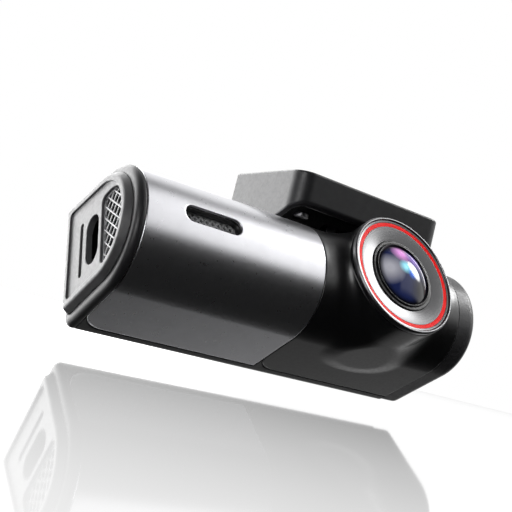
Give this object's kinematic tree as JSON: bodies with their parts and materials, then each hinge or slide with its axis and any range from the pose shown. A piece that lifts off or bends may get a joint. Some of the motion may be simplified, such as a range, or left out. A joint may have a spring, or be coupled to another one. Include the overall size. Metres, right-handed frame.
{
  "type": "dash camera",
  "caption": "Windscreen dash camera: D-section body with a metal sleeve and a large round lens, tilting on a hinge under a wedge mount taped to the glass.",
  "frame": {"origin": "centre of the adhesive face on top of the wedge mount, which goes on the glass", "axes": "+Z out of the adhesive face, +X along the camera from its port end to its closed end, -Y towards the road"},
  "size_m": [0.0925, 0.05, 0.046],
  "materials": {
    "black_plastic": "fine satin texture",
    "cover_plastic": "matt",
    "gloss_black": "smooth satin gloss",
    "sleeve_metal": "gunmetal, satin",
    "plate_plastic": "fine satin texture",
    "cap_plastic": "satin",
    "grille_plastic": "matt",
    "foam_tape": "matt foam",
    "rim_metal": "satin",
    "face_metal": "spun satin",
    "accent_red": "gloss",
    "seal_rubber": "matt",
    "retainer_black": "satin",
    "coated_glass": "coated, polished",
    "barrel_black": "matt",
    "filter_glass": "polished",
    "sensor_die": "polished",
    "board_green": "solder mask",
    "chip_black": "moulded",
    "tin_plate": "tinned",
    "flex_amber": "film",
    "thermal_rubber": "soft",
    "spreader_metal": "plain",
    "capacitor_blue": "shrink sleeve",
    "microphone_metal": "plated",
    "card_black": "moulded",
    "antenna_copper": "foil",
    "bracket_plastic": "satin",
    "hinge_steel": "plated",
    "washer_nylon": "natural",
    "screw_steel": "blackened"
  },
  "bodies": {
    "mount": {"mount_shell": "black_plastic", "adhesive_pad": "foam_tape", "mount_base_cover": "cover_plastic", "mount_cover_screws": "screw_steel", "hinge_screw": "hinge_steel", "hinge_nut": "hinge_steel", "friction_washers": "washer_nylon"},
    "camera": {"hinge_bracket": "bracket_plastic", "hinge_bracket_screws": "screw_steel", "metal_sleeve": "sleeve_metal", "front_shell": "gloss_black", "rear_shell": "black_plastic", "end_frame": "black_plastic", "port_plate": "plate_plastic", "end_grille": "grille_plastic", "end_cap": "cap_plastic", "sound_window_grille": "grille_plastic", "lens_bezel": "rim_metal", "lens_face_ring": "face_metal", "accent_ring": "accent_red", "lens_seal": "seal_rubber", "lens_retainer": "retainer_black", "front_lens": "coated_glass", "middle_lens": "coated_glass", "rear_lens": "coated_glass", "aperture_stop": "barrel_black", "lens_barrel": "barrel_black", "lens_holder": "barrel_black", "infrared_filter": "filter_glass", "image_sensor": "sensor_die", "sensor_board": "board_green", "sensor_board_screws": "screw_steel", "flex_cable": "flex_amber", "main_board": "board_green", "processor": "chip_black", "memory_chips": "chip_black", "shield_can": "tin_plate", "thermal_pad": "thermal_rubber", "heat_spreader": "spreader_metal", "power_coils": "chip_black", "supercapacitors": "capacitor_blue", "speaker": "chip_black", "microphone": "microphone_metal", "port_board": "board_green", "board_header": "chip_black", "usb_socket": "tin_plate", "usb_tongue": "chip_black", "card_socket": "tin_plate", "wifi_antenna": "antenna_copper", "shell_screws": "screw_steel"},
    "card": {"memory_card": "card_black"}
  },
  "joints": [
    {"name": "tilt", "type": "hinge", "parent": "mount", "child": "camera", "pos_m": [0.0016, -0.00255, -0.01026], "axis": [1, 0, 0], "range_deg": [-6, 20]},
    {"name": "card_slide", "type": "slide", "parent": "camera", "child": "card", "axis": [-1, 0, 0], "range_m": [0, 0.016]}
  ]
}
